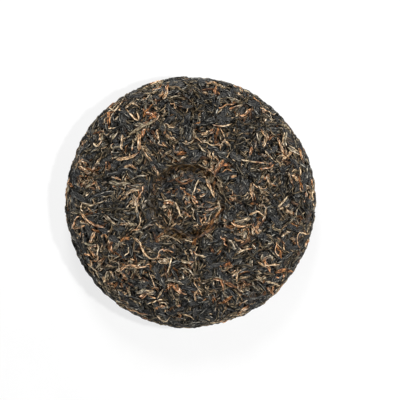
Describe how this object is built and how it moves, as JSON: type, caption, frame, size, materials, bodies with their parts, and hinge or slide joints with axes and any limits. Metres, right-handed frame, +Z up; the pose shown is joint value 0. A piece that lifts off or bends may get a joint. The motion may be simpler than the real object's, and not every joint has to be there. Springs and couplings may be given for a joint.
{
  "type": "pu erh tea cake",
  "caption": "Round pressed cake of fermented tea leaves, domed below and flat above, with a ring-shaped dimple in the middle of the upper face.",
  "frame": {"origin": "middle of the footprint, on the surface that the cake rests on", "axes": "+Z up through the cake's thickness, out of the dimpled back; X and Y lie in the plane of the disc, with +Y at the top of the picture"},
  "size_m": [0.1992, 0.199, 0.0263],
  "materials": {
    "tea_leaf": "satin",
    "golden_bud": "matte",
    "brown_leaf": "satin"
  },
  "bodies": {
    "root": {"tea_cake": "tea_leaf"}
  },
  "joints": []
}
